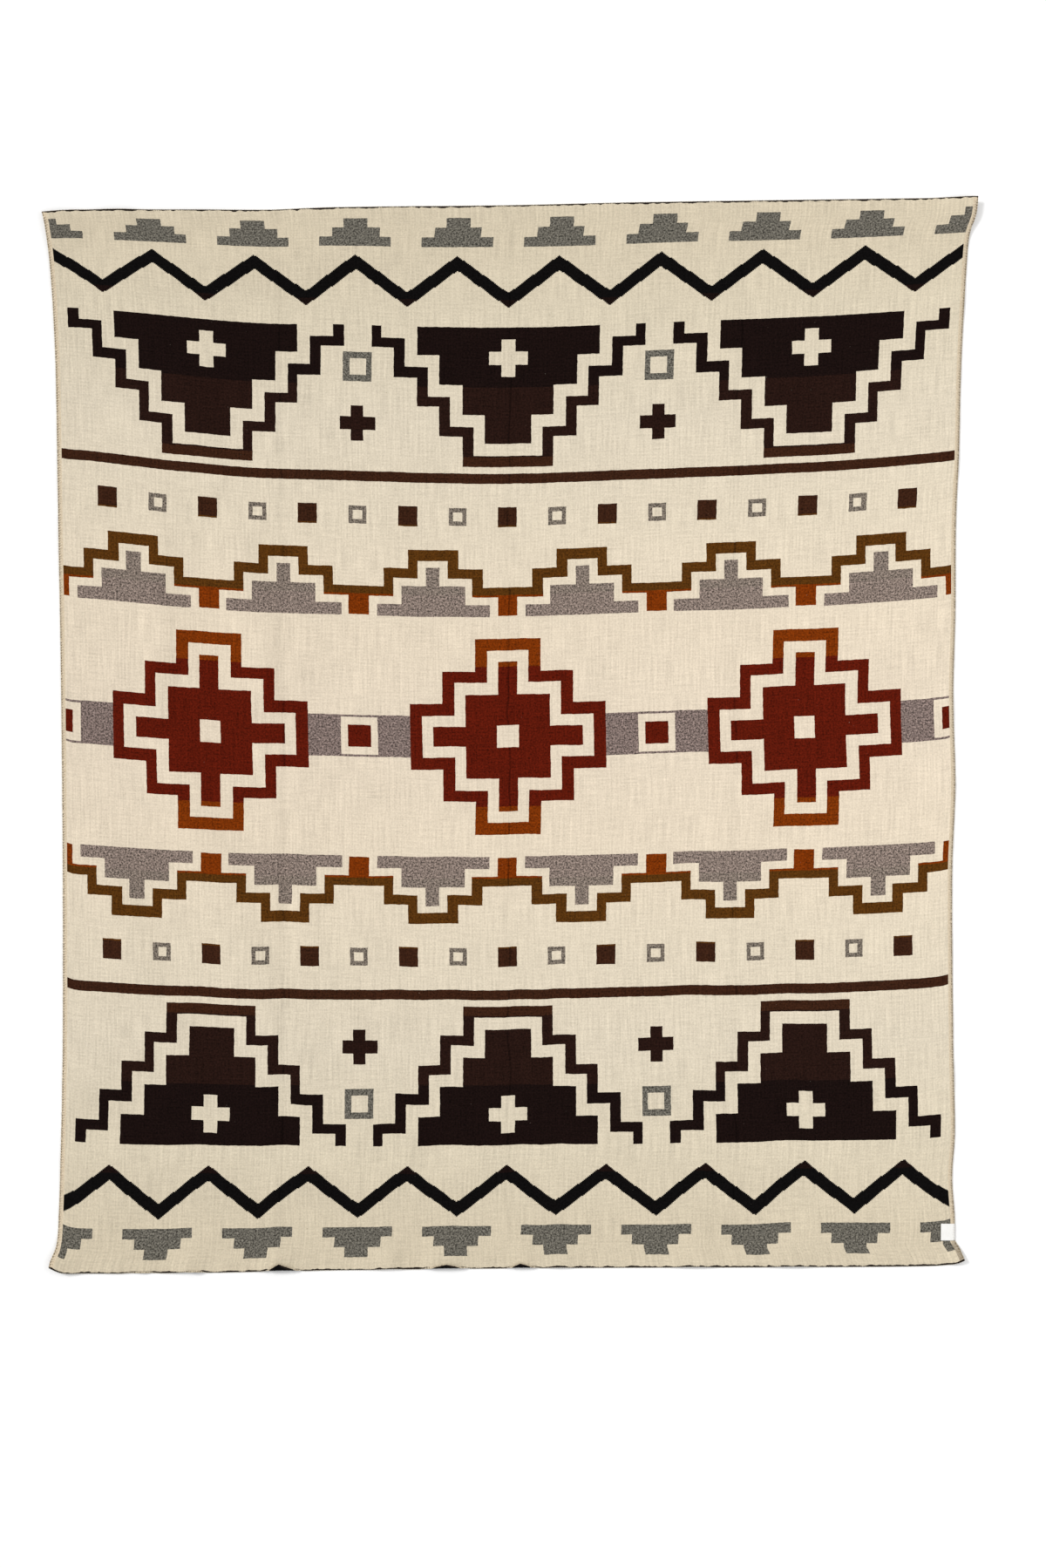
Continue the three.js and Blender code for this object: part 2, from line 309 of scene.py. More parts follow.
def add_places(mesh, name, places):
    """A vector for each point of a mesh, in metres, which its material reads."""
    layer = mesh.attributes.new(name, "FLOAT_VECTOR", "POINT")
    flat = np.zeros((len(mesh.vertices), 3), np.float32)
    flat[:, :2] = np.asarray(places).reshape(-1, 2) * MM
    layer.data.foreach_set("vector", flat.ravel())


def mesh_lines(half, step, wanted):
    """Mesh lines from -half to half: the wanted ones, and even ones that don't crowd them."""
    even = np.linspace(-half, half, round(2 * half / step) + 1)
    wanted = np.array(sorted(wanted))
    wanted = wanted[np.abs(wanted) < half]
    clear = np.array([np.abs(wanted - line).min() > step * CLEARANCE for line in even])
    clear[[0, -1]] = True
    return np.unique(np.concatenate([even[clear], wanted]))


def border(grid):
    """The outer places of a grid, in one round."""
    return np.concatenate([grid[0, :-1], grid[:-1, -1], grid[-1, :0:-1], grid[:0:-1, 0]])


def grid_faces(grid):
    """Faces between the points of a grid, which holds their numbers."""
    corners = [grid[:-1, :-1], grid[:-1, 1:], grid[1:, 1:], grid[1:, :-1]]
    return np.stack(corners, axis=-1).reshape(-1, 4)


def turned_over(faces):
    return faces[:, [0, 3, 2, 1]]


def round_faces(low, high):
    """Faces between two rounds of points, which hold their numbers."""
    return np.stack([low, np.roll(low, -1), np.roll(high, -1), high], axis=-1)


def tubes(paths, radius, sides):
    """Joined tubes with closed ends: `paths` is an array of runs of points, all with as many points."""
    paths = np.asarray(paths, float)
    count, steps = paths.shape[:2]
    ahead = np.gradient(paths, axis=1)
    ahead /= np.linalg.norm(ahead, axis=2, keepdims=True)
    aside = np.cross(ahead, (0.37, 0.21, 0.9))
    aside /= np.linalg.norm(aside, axis=2, keepdims=True)
    above = np.cross(ahead, aside)
    turn = np.arange(sides) * 2 * math.pi / sides
    ring = np.cos(turn)[:, None] * aside[:, :, None] + np.sin(turn)[:, None] * above[:, :, None]
    thin = np.ones(steps)
    thin[[0, -1]] = TUBE_END
    points = paths[:, :, None] + ring * (radius * thin)[None, :, None, None]
    base = np.arange(count)[:, None, None] * steps * sides
    step = np.arange(steps - 1)[None, :, None] * sides
    side = np.arange(sides)[None, None, :]
    following = (side + 1) % sides
    low = base + step
    faces = np.stack([low + side, low + following, low + sides + following, low + sides + side], axis=-1)
    faces = faces.reshape(-1, 4).tolist()
    for tube in range(count):
        first = tube * steps * sides
        last = first + (steps - 1) * sides
        faces.append([first + k for k in reversed(range(sides))])
        faces.append([last + k for k in range(sides)])
    return points.reshape(-1, 3), faces


# Materials

LIGHT = 1.14  # how much brighter than its own colour a level face comes out


def seen(red, green, blue):
    """The colour of a level face that comes out as 0 to 255 on a screen, under the lights of this scene."""

    def channel(value):
        value /= 255
        value = value / 12.92 if value <= 0.04045 else ((value + 0.055) / 1.055) ** 2.4
        return value / LIGHT

    return (channel(red), channel(green), channel(blue), 1.0)


class Field:
    """A value that changes over a surface: a socket of a shader tree, with the usual arithmetic."""

    def __init__(self, socket):
        self.socket = socket

    def __add__(self, other):
        return calculate("ADD", self, other)

    def __sub__(self, other):
        return calculate("SUBTRACT", self, other)

    def __rsub__(self, other):
        return calculate("SUBTRACT", other, self)

    def __mul__(self, other):
        return calculate("MULTIPLY", self, other)

    def __lt__(self, other):
        return calculate("LESS_THAN", self, other)

    def __gt__(self, other):
        return calculate("GREATER_THAN", self, other)

    def __and__(self, other):
        return calculate("MINIMUM", self, other)

    def __or__(self, other):
        return calculate("MAXIMUM", self, other)

    def __abs__(self):
        return calculate("ABSOLUTE", self)


def calculate(operation, *values, clamp=False):
    """A math node on fields and plain numbers."""
    tree = next(value.socket.id_data for value in values if isinstance(value, Field))
    node = tree.nodes.new("ShaderNodeMath")
    node.operation = operation
    node.use_clamp = clamp
    for socket, value in zip(node.inputs, values):
        if isinstance(value, Field):
            tree.links.new(value.socket, socket)
        else:
            socket.default_value = value
    return Field(node.outputs[0])


def without(mask, other):
    return calculate("SUBTRACT", mask, other, clamp=True)


def band(value, low, high):
    """1 where a value lies between two numbers, and 0 elsewhere."""
    return calculate("COMPARE", value, (low + high) / 2, (high - low) / 2)


def snap(value, step):
    """The middle of the step that a value lies in."""
    return calculate("SNAP", value, step) + step / 2


def fold(value, pitch, offset=0.0):
    """Distance from the nearest of a row of centres, `pitch` apart."""
    return calculate("PINGPONG", value - offset if offset else value, pitch / 2)


def terrace(side, reach, height, count):
    """Height of a stepped pyramid at a distance from its middle; it falls by steps to 0 at `reach`."""
    return calculate("MULTIPLY_ADD", calculate("SNAP", side, reach / count), -height / reach, height)


def square(side, up, half):
    return calculate("MAXIMUM", side, up) < half


def plus(side, up, long, short):
    """A plus sign, by the half length and half breadth of its arms."""
    return ((side < long) & (up < short)) | ((side < short) & (up < long))


def stretch(field, low, high, to_low=0.0, to_high=1.0):
    """A field's range spread over another one, with what lies past it cut off."""
    tree = field.socket.id_data
    node = tree.nodes.new("ShaderNodeMapRange")
    tree.links.new(field.socket, node.inputs["Value"])
    for name, value in zip(("From Min", "From Max", "To Min", "To Max"), (low, high, to_low, to_high)):
        node.inputs[name].default_value = value
    return Field(node.outputs[0])


def first_two(tree, vector):
    """The first two coordinates of a vector."""
    split = tree.nodes.new("ShaderNodeSeparateXYZ")
    tree.links.new(vector, split.inputs[0])
    return Field(split.outputs[0]), Field(split.outputs[1])


def attribute(tree, name):
    """The two coordinates that a mesh keeps under a name."""
    node = tree.nodes.new("ShaderNodeAttribute")
    node.attribute_name = name
    return first_two(tree, node.outputs["Vector"])


def object_place(tree):
    """A place's x and y on its own object."""
    node = tree.nodes.new("ShaderNodeTexCoord")
    return first_two(tree, node.outputs["Object"])


def grain(x, y, wide, long, seed):
    """Noise from 0 to 1 with features of about `wide` by `long` metres."""
    tree = x.socket.id_data
    join = tree.nodes.new("ShaderNodeCombineXYZ")
    tree.links.new((x * (1 / wide)).socket, join.inputs[0])
    tree.links.new((y * (1 / long)).socket, join.inputs[1])
    join.inputs[2].default_value = seed
    node = tree.nodes.new("ShaderNodeTexNoise")
    node.inputs["Scale"].default_value = 1.0
    node.inputs["Detail"].default_value = 2.0
    tree.links.new(join.outputs[0], node.inputs["Vector"])
    return Field(node.outputs["Fac"])


def bands_of_color(field, longest, stops, blend="CONSTANT"):
    """A colour for each stretch of a field, by (where it starts, colour). LINEAR blends between them."""
    tree = field.socket.id_data
    node = tree.nodes.new("ShaderNodeValToRGB")
    ramp = node.color_ramp
    ramp.interpolation = blend
    while len(ramp.elements) < len(stops):
        ramp.elements.new(0.5)
    for element, (start, color) in zip(ramp.elements, stops):
        element.position = start / longest
        element.color = color
    tree.links.new((field * (1 / longest)).socket, node.inputs[0])
    return node.outputs["Color"]


def mix(share, first, second):
    """A colour between two colours, each a socket or plain numbers."""
    tree = share.socket.id_data
    node = tree.nodes.new("ShaderNodeMix")
    node.data_type = "RGBA"
    tree.links.new(share.socket, node.inputs["Factor"])
    for socket, color in ((node.inputs[6], first), (node.inputs[7], second)):
        if isinstance(color, bpy.types.NodeSocket):
            tree.links.new(color, socket)
        else:
            socket.default_value = color
    return node.outputs[2]


def shade(color, by):
    """A colour made lighter or darker by a field around 1."""
    tree = by.socket.id_data
    node = tree.nodes.new("ShaderNodeVectorMath")
    node.operation = "SCALE"
    tree.links.new(color, node.inputs[0])
    tree.links.new(by.socket, node.inputs["Scale"])
    return node.outputs[0]


def unevenness(*parts):
    """A factor around 1, from noises and how strongly each one counts."""
    factor = 1 - sum(weight for _, weight in parts) / 2
    for noise_field, weight in parts:
        factor = noise_field * weight + factor
    return factor


def new_material(name, roughness, sheen, specular):
    """A material with its shader; what is the same all over is set on the shader itself."""
    material = bpy.data.materials.new(name)
    material.use_nodes = True
    shader = material.node_tree.nodes["Principled BSDF"]
    shader.inputs["Roughness"].default_value = roughness
    shader.inputs["Sheen Weight"].default_value = sheen
    shader.inputs["Sheen Roughness"].default_value = 0.6
    shader.inputs["Specular IOR Level"].default_value = specular
    return material, material.node_tree, shader


def add_bump(tree, shader, height, distance, strength):
    node = tree.nodes.new("ShaderNodeBump")
    node.inputs["Distance"].default_value = distance
    node.inputs["Strength"].default_value = strength
    tree.links.new(height.socket, node.inputs["Height"])
    tree.links.new(node.outputs[0], shader.inputs["Normal"])


# The woven design: stepped crosses, terraces, pyramids and a zigzag in bands, mirrored at the middle

REPEAT = WIDTH / 3 * MM
THREAD_ACROSS, THREAD_ALONG = 0.0026, 0.0021

# Sizes in the design, in metres. Heights go from the middle towards each end.
CROSS_REACH, CROSS_STEPS = 0.186, 3
TERRACE_FOOT, TERRACE_RISE, TERRACE_STEPS = 0.228, 0.105, 3
SQUARES_FROM, SQUARES_TO, SQUARE_HALF = 0.402, 0.438, 0.018
STRIPE_FROM, STRIPE_TO = 0.484, 0.501
PYRAMID_FOOT, PYRAMID_HEIGHT, PYRAMID_HALF, PYRAMID_STEPS = 0.782, 0.224, 0.172, 4
PLUS_HEIGHT, LARGE_SQUARE_HEIGHT = 0.592, 0.700
ZIGZAG_HEIGHT, ZIGZAG_SLOPE, ZIGZAG_HALF = 0.868, 0.75, 0.0145
SMALL_FOOT, SMALL_REACH, SMALL_RISE, SMALL_STEPS = 0.934, 0.066, 0.057, 3
CLEAR_OF_SIDES = 0.80  # small motifs keep inside this, so that no side edge cuts them off


def woven_design(s, t):
    """Where the dark yarn and the heather yarn show, at a place across and along the cloth in metres."""
    a = abs(t)
    middle = fold(s, REPEAT)
    post = fold(s, REPEAT, REPEAT / 2)
    clear = abs(s) < CLEAR_OF_SIDES

    # Large stepped crosses, each inside a line, on a heather bar with a square between them
    def cross(inset):
        return (a + inset) < terrace(middle + inset, CROSS_REACH, CROSS_REACH, CROSS_STEPS)

    ink = without(cross(0), cross(0.022)) | without(cross(0.044), square(middle, a, 0.020))
    ink = ink | square(post, a, 0.022)
    grey = without((a < 0.040) & (middle > CROSS_REACH), square(post, a, 0.036))

    # A terraced line above and below them, with a heather filling behind it
    side = fold(s, REPEAT / 2, REPEAT / 4)
    up = a - TERRACE_FOOT

    def terraced(inset):
        return terrace(side + inset if inset else side, REPEAT / 4, TERRACE_RISE, TERRACE_STEPS)

    line = (up > 0) & (up < terraced(0) + 0.023)
    ink = ink | without(line, up < terraced(0.019) + 0.004)
    grey = grey | ((up > 0) & (up < terraced(0.034) - 0.010))

    # Squares in the open cream, and a stripe
    solid_side = fold(s, REPEAT / 3)
    open_side = fold(s, REPEAT / 3, REPEAT / 6)
    ink = ink | ((solid_side < SQUARE_HALF) & band(a, SQUARES_FROM, SQUARES_TO))
    ring = (open_side < 0.0165) & band(a, SQUARES_FROM + 0.0015, SQUARES_TO - 0.0015)
    hole = (open_side < 0.0085) & band(a, SQUARES_FROM + 0.0095, SQUARES_TO - 0.0095)
    grey = without(grey | (ring & clear), hole)
    ink = ink | band(a, STRIPE_FROM, STRIPE_TO)

    # Large stepped pyramids that point to the middle, each inside a line
    depth = PYRAMID_FOOT - a

    def pyramid(grown):
        grown_side = calculate("MAXIMUM", middle - grown, 0) if grown else middle
        top = terrace(grown_side, PYRAMID_HALF, PYRAMID_HEIGHT, PYRAMID_STEPS) + grown
        return (depth > 0) & (depth < top)

    ink = ink | without(pyramid(0), plus(middle, abs(depth - 0.060), 0.036, 0.013))
    ink = ink | without(pyramid(0.043), pyramid(0.023))
    ink = ink | (plus(post, abs(a - PLUS_HEIGHT), 0.034, 0.012) & clear)
    up = abs(a - LARGE_SQUARE_HEIGHT)
    grey = grey | (without(square(post, up, 0.028), square(post, up, 0.0155)) & clear)

    # Zigzag and small heather pyramids towards the ends
    zigzag = solid_side * ZIGZAG_SLOPE + (ZIGZAG_HEIGHT - REPEAT / 12 * ZIGZAG_SLOPE)
    ink = ink | (abs(a - zigzag) < ZIGZAG_HALF)
    small = (a > SMALL_FOOT) & ((a - SMALL_FOOT) < terrace(open_side, SMALL_REACH, SMALL_RISE, SMALL_STEPS))
    return ink, grey | small


# The yarns' colours from the middle to the ends; the cream also darkens towards both ends with painted
# shade: (how far from the middle a colour starts, colour)
INK_BANDS = [
    (0.0, seen(92, 23, 8)),
    (0.13, seen(121, 50, 5)),
    (0.27, seen(86, 51, 14)),
    (0.40, seen(58, 32, 19)),
    (0.53, seen(38, 21, 16)),
    (0.665, seen(25, 14, 12)),
    (0.83, seen(13, 11, 11)),
]
# Cream yarn: its smooth darkening towards both ends is painted shade
CREAM_AND_END_SHADE = [
    (0.0, seen(230, 215, 193)),
    (0.2, seen(231, 216, 193)),
    (0.4, seen(227, 214, 191)),
    (0.6, seen(223, 211, 189)),
    (0.8, seen(219, 207, 183)),
    (0.95, seen(215, 202, 177)),
]
HEATHER_BANDS = [
    (0.0, seen(127, 111, 105)),
    (0.13, seen(135, 120, 111)),
    (0.27, seen(130, 117, 107)),
    (0.40, seen(120, 110, 99)),
    (0.665, seen(105, 101, 92)),
]
LONGEST = 1.1  # the middle of the cloth is nowhere further away than this

# Edges of the cloth, in metres
SELVEDGE = 0.0078
DASH_DEPTH = 0.0021  # how far in the selvedge's stitches leave it darker
END_LINE = (0.0008, 0.0040)  # least and greatest width of the dark line at the lower and upper edges
TAUPE_CORNER = (-0.984, -0.976)  # the right selvedge is taupe below here


def yarns(s, t, from_middle, ink, grey):
    """The yarns' colours where each one shows, and how far they stand up.

    They have long slubs each way, speckles and a little lint.
    """
    weft = grain(s, t, 0.045, 0.0034, 5.0)
    warp = grain(s, t, 0.0036, 0.075, 6.0)
    speckle = grain(s, t, 0.0034, 0.0034, 8.0)
    fine = grain(s, t, 0.0015, 0.0015, 7.0)
    patch = grain(s, t, 0.11, 0.16, 9.0)
    fleck = grain(s, t, 0.0042, 0.0050, 10.0)

    # The cream carries painted shade, darker towards both ends
    cream = bands_of_color(from_middle, LONGEST, CREAM_AND_END_SHADE, "LINEAR")
    cream = shade(cream, unevenness((warp, 0.44), (weft, 0.28), (speckle, 0.48), (patch, 0.08)))
    cream = mix(stretch(fleck, 0.70, 0.80, 0.0, 0.45), cream, seen(150, 132, 104))
    dark = bands_of_color(from_middle, LONGEST, INK_BANDS)
    dark = shade(dark, unevenness((speckle, 2.2), (warp, 0.7), (weft, 0.7)))
    heather = bands_of_color(from_middle, LONGEST, HEATHER_BANDS)
    heather = shade(heather, unevenness((speckle, 4.4), (fine, 3.4), (warp, 0.5)) | 0.25)
    color = mix(ink, mix(grey, cream, heather), dark)
    lint = stretch(grain(s, t, 0.0040, 0.0034, 14.0), 0.775, 0.81, 0.0, 0.5)
    color = mix(lint, color, seen(225, 214, 196))
    return color, weft * 0.5 + warp * 0.5 + speckle * 0.35 + ink * 0.12


def with_painted_crease_shade(color, s, t, across, ink):
    """Painted shade along the creases: a darker band beside each crease, deeper for higher creases, and a
    thin darker line in the dark yarn.
    """
    for at, height, *_ in CREASES:
        line = across - at * MM + (grain(s, t, 0.3, 0.12, 11.0) - 0.5) * 0.02
        # Painted shade: a band darker beside each crease by its height, and a thin dark line where the dark
        # yarn shows
        color = shade(color, stretch(abs(line), 0.002, 0.013, 1 - 0.028 * height, 1.0))
        color = shade(color, 1 - stretch(abs(line), 0.0010, 0.0024, 0.38, 0.0) * ink)
    return color


def with_selvedges(color, across, along):
    """Cream at both sides, darker between its stitches, and taupe at the corner under the label."""
    to_side = (WIDTH / 2 * MM) - abs(across)
    twill = grain(across + along, across - along, 0.0016, 0.006, 3.0)
    selvedge = mix(stretch(twill, 0.35, 0.65), seen(204, 186, 156), seen(233, 217, 192))
    under_label = (across > 0) & stretch(along, *TAUPE_CORNER, 1.0, 0.0)
    selvedge = mix(under_label, selvedge, shade(selvedge, twill * 0.2 + 0.45))
    gap = fold(along, SIDE_STITCH["pitch"] * MM) > 0.0008
    gap = gap & stretch(grain(across, along, 0.004, 0.007, 13.0), 0.36, 0.46)
    selvedge = mix((to_side < DASH_DEPTH) & gap, selvedge, seen(128, 112, 90))
    return mix(to_side < SELVEDGE, color, selvedge)


def with_end_lines(color, across, along):
    """A dark line where the reverse comes round the lower and upper edges."""
    to_end = (LENGTH / 2 * MM) - abs(along)
    line_width = stretch(grain(across, along, 0.016, 0.016, 12.0), 0.36, 0.66, *END_LINE)
    return mix(to_end < line_width, color, seen(34, 27, 23))


def woven_material(name, reverse):
    """The double cloth: cream, dark and heather yarns. On its reverse, cream and dark change places."""
    material, tree, shader = new_material(name, roughness=0.95, sheen=0.02, specular=0.01)
    s, t = attribute(tree, "weave_place")
    across, along = attribute(tree, "cloth_place")

    # Motif edges go by whole threads, a little unevenly
    waver = (grain(s, t, 0.012, 0.012, 2.0) - 0.5) * 0.0022
    ink, grey = woven_design(snap(s + waver, THREAD_ACROSS), snap(t + waver, THREAD_ALONG))
    if reverse:
        ink = without(1 - ink, grey)

    color, raised = yarns(s, t, abs(t + waver), ink, grey)
    # Painted shade along the creases
    color = with_painted_crease_shade(color, s, t, across, ink)
    color = with_selvedges(color, across, along)
    color = with_end_lines(color, across, along)
    tree.links.new(color, shader.inputs["Base Color"])
    add_bump(tree, shader, raised, distance=0.0007, strength=0.45)
    return material


def rim_material():
    """The cut edge of the double cloth, where dark and cream yarns show end on."""
    material, tree, shader = new_material("cloth_rim", roughness=0.95, sheen=0.02, specular=0.01)
    across, along = attribute(tree, "cloth_place")
    yarn_ends = grain(across, along, 0.0035, 0.0035, 4.0)
    color = mix(stretch(yarn_ends, 0.38, 0.52), seen(132, 116, 94), seen(216, 202, 176))
    tree.links.new(color, shader.inputs["Base Color"])
    add_bump(tree, shader, yarn_ends, distance=0.0006, strength=0.5)
    return material


def thread_material(name, dark, light):
    """Sewing thread with its twist."""
    material, tree, shader = new_material(name, roughness=0.8, sheen=0.1, specular=0.1)
    x, y = object_place(tree)
    twist = grain(x, y, 0.0009, 0.0009, 1.0)
    uneven = grain(x, y, 0.020, 0.020, 2.0)
    color = mix(stretch(twist + (uneven - 0.5) * 0.6, 0.35, 0.65), dark, light)
    tree.links.new(color, shader.inputs["Base Color"])
    add_bump(tree, shader, twist, distance=0.0003, strength=0.6)
    return material


def satin_material():
    """The label's white ribbon: close upright ribs with a soft shine."""
    material, tree, shader = new_material("label_satin", roughness=0.42, sheen=0.2, specular=0.45)
    x, y = object_place(tree)
    ribs = grain(x, y, 0.0007, 0.012, 1.0)
    # Painted light: the white is lighter on the raised ribs and darker between them
    color = shade(mix(stretch(ribs, 0.3, 0.7), seen(240, 238, 233), seen(255, 254, 251)), ribs * 0.06 + 0.97)
    tree.links.new(color, shader.inputs["Base Color"])
    add_bump(tree, shader, ribs, distance=0.0002, strength=0.5)
    return material


# The cloth

STEP_ACROSS, STEP_ALONG = 10, 11.5  # these keep the cloth under 200,000 triangles
TURN_STEP = 4  # closer lines where the hem turns over
RINGS = 4  # rows of faces round the cloth's edge, between its underside and its face
BULGE = 0.8


def sagged(across, along):
    """The place in the woven design that a place on the cloth shows: its wefts sag between the sides."""
    left = curve_through([(at, high) for at, high, _ in SAG], along)
    right = curve_through([(at, high) for at, _, high in SAG], along)
    share = across / (WIDTH / 2)
    hang = np.where(share < 0, left, right) * np.abs(share) ** 1.8
    drift = 2.5 * wander(across, along, 240, 300, 5.5)
    return np.stack([across + 2 * wander(across, along, 300, 220, 6.5), along - hang + drift], axis=-1)


def cloth_places():
    """The mesh's places across and along the cloth, closer together at creases, turn-ups and the hem."""
    pinch_steps = np.linspace(-PINCH_REACH, PINCH_REACH, 5)
    at_creases = [at + step for at, *_ in CREASES for step in pinch_steps]
    at_turns = []
    for at, _, before, after in TURN_UPS:
        at_turns += [at + step for step in np.arange(-before, after + 1, TURN_STEP)]
    at_hem = np.concatenate([np.arange(1.5, 15, 1.5), np.arange(16, 34, 3), [38, 46]]) - LENGTH / 2
    acrosses = mesh_lines(WIDTH / 2, STEP_ACROSS, at_creases + at_turns)
    alongs = mesh_lines(LENGTH / 2, STEP_ALONG, at_hem)
    return np.meshgrid(acrosses, alongs)


def edge_rounds(face, under):
    """Rounds of points up the cloth's edge, which bulges a little between its underside and its face."""
    middle = (face + under) / 2
    out = np.zeros_like(middle)
    out[0] += middle[0] - middle[1]
    out[-1] += middle[-1] - middle[-2]
    out[:, 0] += middle[:, 0] - middle[:, 1]
    out[:, -1] += middle[:, -1] - middle[:, -2]
    out = border(out)
    out /= np.linalg.norm(out, axis=1, keepdims=True)
    rounds = []
    for number in range(1, RINGS):
        share = number / RINGS
        level = border(under) * (1 - share) + border(face) * share
        rounds.append(level + out * BULGE * math.sin(math.pi * share))
    return rounds


def make_cloth():
    """The cloth's face, its underside and the edge between them, as one closed mesh."""
    across, along = cloth_places()
    face = surface(across, along, THICKNESS / 2)
    under = surface(across, along, -THICKNESS / 2)
    rounds = edge_rounds(face, under)
    points = np.concatenate([face.reshape(-1, 3), under.reshape(-1, 3), *rounds])

    grid = np.arange(across.size).reshape(across.shape)
    edge = border(grid)
    rings = [edge + grid.size]
    rings += [2 * grid.size + k * len(edge) + np.arange(len(edge)) for k in range(RINGS - 1)]
    rings.append(edge)
    face_quads = grid_faces(grid)
    under_quads = turned_over(face_quads) + grid.size
    rim_quads = np.concatenate([round_faces(low, high) for low, high in zip(rings, rings[1:])])
    faces = np.concatenate([face_quads, under_quads, rim_quads])
    kinds = np.repeat([0, 1, 2], [len(face_quads), len(under_quads), len(rim_quads)])

    materials = [woven_material("cloth_face", False), woven_material("cloth_reverse", True), rim_material()]
    piece = add_piece("throw_cloth", points + placed, faces, materials, kinds)
    cloth_place = np.stack([across, along], axis=-1)
    weave_place = sagged(across, along)
    for name, places in (("cloth_place", cloth_place), ("weave_place", weave_place)):
        flat = places.reshape(-1, 2)
        add_places(piece.data, name, np.concatenate([flat, flat] + [border(places)] * len(rounds)))
    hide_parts("throw")
    return piece


def outline_centre():
    """The middle of the cloth's outline, which the frame puts at the middle of the throw's node."""
    acrosses = np.linspace(-WIDTH / 2, WIDTH / 2, 120)
    alongs = np.linspace(-LENGTH / 2, LENGTH / 2, 120)
    x, y = plan(*np.meshgrid(acrosses, alongs))
    return np.array([(x.min() + x.max()) / 2, (y.min() + y.max()) / 2, 0])


# Sewing: how far apart the stitches are, how far in they reach, and how thick their thread is

SIDE_STITCH = {"pitch": 5.0, "reach": 5.2, "radius": 0.42}
HEM_STITCH = {"pitch": 4.2, "reach": 2.0, "radius": 0.4}
LABEL_STITCH = {"pitch": 4.8, "radius": 0.3}
THREAD_SIDES = 6
STITCH_SHIFT = 0.16  # how far a stitch may be out of place, as a share of the pitch


def edge_stitches(alongs, side, reach, seed):
    """Overcast stitches down one side: each runs from the face out over the edge and slants a little."""
    chance = np.random.default_rng(seed)
    count = len(alongs)
    inner = reach * chance.uniform(0.8, 1.12, count)
    slant = chance.uniform(0.8, 2.4, count)
    paths = []
    for share, off in ((1.0, -0.2), (0.72, 0.35), (0.36, 0.4), (0.06, 0.3)):
        across = side * (WIDTH / 2 - inner * share)
        paths.append(surface(across, alongs - slant * (1 - share), THICKNESS / 2 + off))
    outward = np.array([side, 0, 0])
    rim = surface(side * (WIDTH / 2) + alongs * 0, alongs - slant, 0)
    paths.append(rim + outward * (BULGE + 0.35))
    paths.append(rim + outward * (BULGE + 0.1) - (0, 0, 0.9))
    return np.stack(paths, axis=1)


def hem_stitches(acrosses, end, reach, seed):
    """Overcast stitches along the lower or upper edge."""
    chance = np.random.default_rng(seed)
    count = len(acrosses)
    inner = reach * chance.uniform(0.75, 1.2, count)
    slant = chance.uniform(0.5, 1.8, count)
    paths = []
    for share, off in ((1.0, -0.2), (0.6, 0.35), (0.15, 0.3)):
        along = end * (LENGTH / 2 - inner * share)
        paths.append(surface(acrosses - slant * (1 - share), along, THICKNESS / 2 + off))
    edge = surface(acrosses - slant, end * LENGTH / 2, 0)
    inside = surface(acrosses - slant, end * (LENGTH / 2 - 1), 0)
    outward = (edge - inside) / np.linalg.norm(edge - inside, axis=1, keepdims=True)
    paths.append(edge + outward * (BULGE + 0.3))
    return np.stack(paths, axis=1)


def make_stitches():
    """Overcast stitches round the cloth, apart from where the label covers its edge."""
    chance = np.random.default_rng(11)

    def places(half, pitch):
        even = np.arange(-half + pitch, half - pitch, pitch)
        return even + chance.uniform(-STITCH_SHIFT, STITCH_SHIFT, len(even)) * pitch

    sides = []
    for side, seed in ((-1, 1), (1, 2)):
        alongs = places(LENGTH / 2, SIDE_STITCH["pitch"])
        if side > 0:
            covered = np.abs(alongs - LABEL["along"]) < LABEL["width"] / 2 + 2
            alongs = alongs[~covered]
        sides.append(edge_stitches(alongs, side, SIDE_STITCH["reach"], seed))
    points, faces = tubes(np.concatenate(sides) + placed, SIDE_STITCH["radius"], THREAD_SIDES)
    thread = thread_material("edge_thread", seen(150, 132, 108), seen(222, 211, 190))
    side_piece = add_piece("side_stitches", points, faces, [thread])

    ends = []
    for end, seed in ((-1, 3), (1, 4)):
        acrosses = places(WIDTH / 2, HEM_STITCH["pitch"])
        ends.append(hem_stitches(acrosses, end, HEM_STITCH["reach"], seed))
    points, faces = tubes(np.concatenate(ends) + placed, HEM_STITCH["radius"], THREAD_SIDES)
    dark_thread = thread_material("hem_thread", seen(30, 24, 22), seen(78, 66, 56))
    hem_piece = add_piece("hem_stitches", points, faces, [dark_thread])
    return [side_piece, hem_piece]


# The label

LABEL_SWELL, LABEL_CURL = 0.5, 1.3  # how far its upper layer rises in the middle, and how far its bend does


